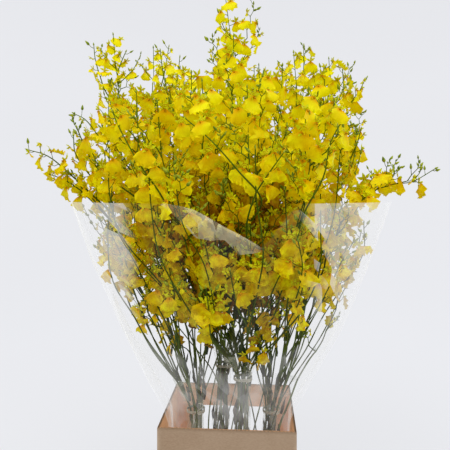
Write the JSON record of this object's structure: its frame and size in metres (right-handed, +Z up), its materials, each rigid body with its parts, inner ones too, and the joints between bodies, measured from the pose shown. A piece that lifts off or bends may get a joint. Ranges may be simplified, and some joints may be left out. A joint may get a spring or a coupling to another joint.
{
  "type": "oncidium orchid bunch",
  "caption": "Bunch of long cut oncidium orchid sprays with small yellow flowers, tied in four bunches in a clear conical sleeve, standing in an open square carton with a carry window.",
  "frame": {"origin": "centre of the carton's underside", "axes": "+Z up along the stalks, -Y towards the front, where the sleeve's open edge dips, +X to the right seen from the front"},
  "size_m": [0.7401, 0.562, 1.0079],
  "materials": {
    "kraft_board": "matt brown kraft board",
    "clear_film": "clear glossy film with a faint haze",
    "tie_elastic": "matt pale elastic",
    "orchid_spray": "satin green stalks with yellow flowers"
  },
  "bodies": {
    "root": {"kraft_carton": "kraft_board", "sleeve_front_ply": "clear_film", "sleeve_back_ply": "clear_film", "bunch_wrap_right": "clear_film", "bunch_tie_right": "tie_elastic", "bunch_wrap_back": "clear_film", "bunch_tie_back": "tie_elastic", "bunch_wrap_left": "clear_film", "bunch_tie_left": "tie_elastic", "bunch_wrap_front": "clear_film", "bunch_tie_front": "tie_elastic", "spray_right_1": "orchid_spray", "spray_right_2": "orchid_spray", "spray_right_3": "orchid_spray", "spray_right_4": "orchid_spray", "spray_right_5": "orchid_spray", "spray_right_6": "orchid_spray", "spray_right_7": "orchid_spray", "spray_right_8": "orchid_spray", "spray_back_1": "orchid_spray", "spray_back_2": "orchid_spray", "spray_back_3": "orchid_spray", "spray_back_4": "orchid_spray", "spray_back_5": "orchid_spray", "spray_back_6": "orchid_spray", "spray_back_7": "orchid_spray", "spray_back_8": "orchid_spray", "spray_left_1": "orchid_spray", "spray_left_2": "orchid_spray", "spray_left_3": "orchid_spray", "spray_left_4": "orchid_spray", "spray_left_5": "orchid_spray", "spray_left_6": "orchid_spray", "spray_left_7": "orchid_spray", "spray_left_8": "orchid_spray", "spray_front_1": "orchid_spray", "spray_front_2": "orchid_spray", "spray_front_3": "orchid_spray", "spray_front_4": "orchid_spray", "spray_front_5": "orchid_spray", "spray_front_6": "orchid_spray", "spray_front_7": "orchid_spray", "spray_front_8": "orchid_spray", "spray_loose": "orchid_spray"}
  },
  "joints": []
}
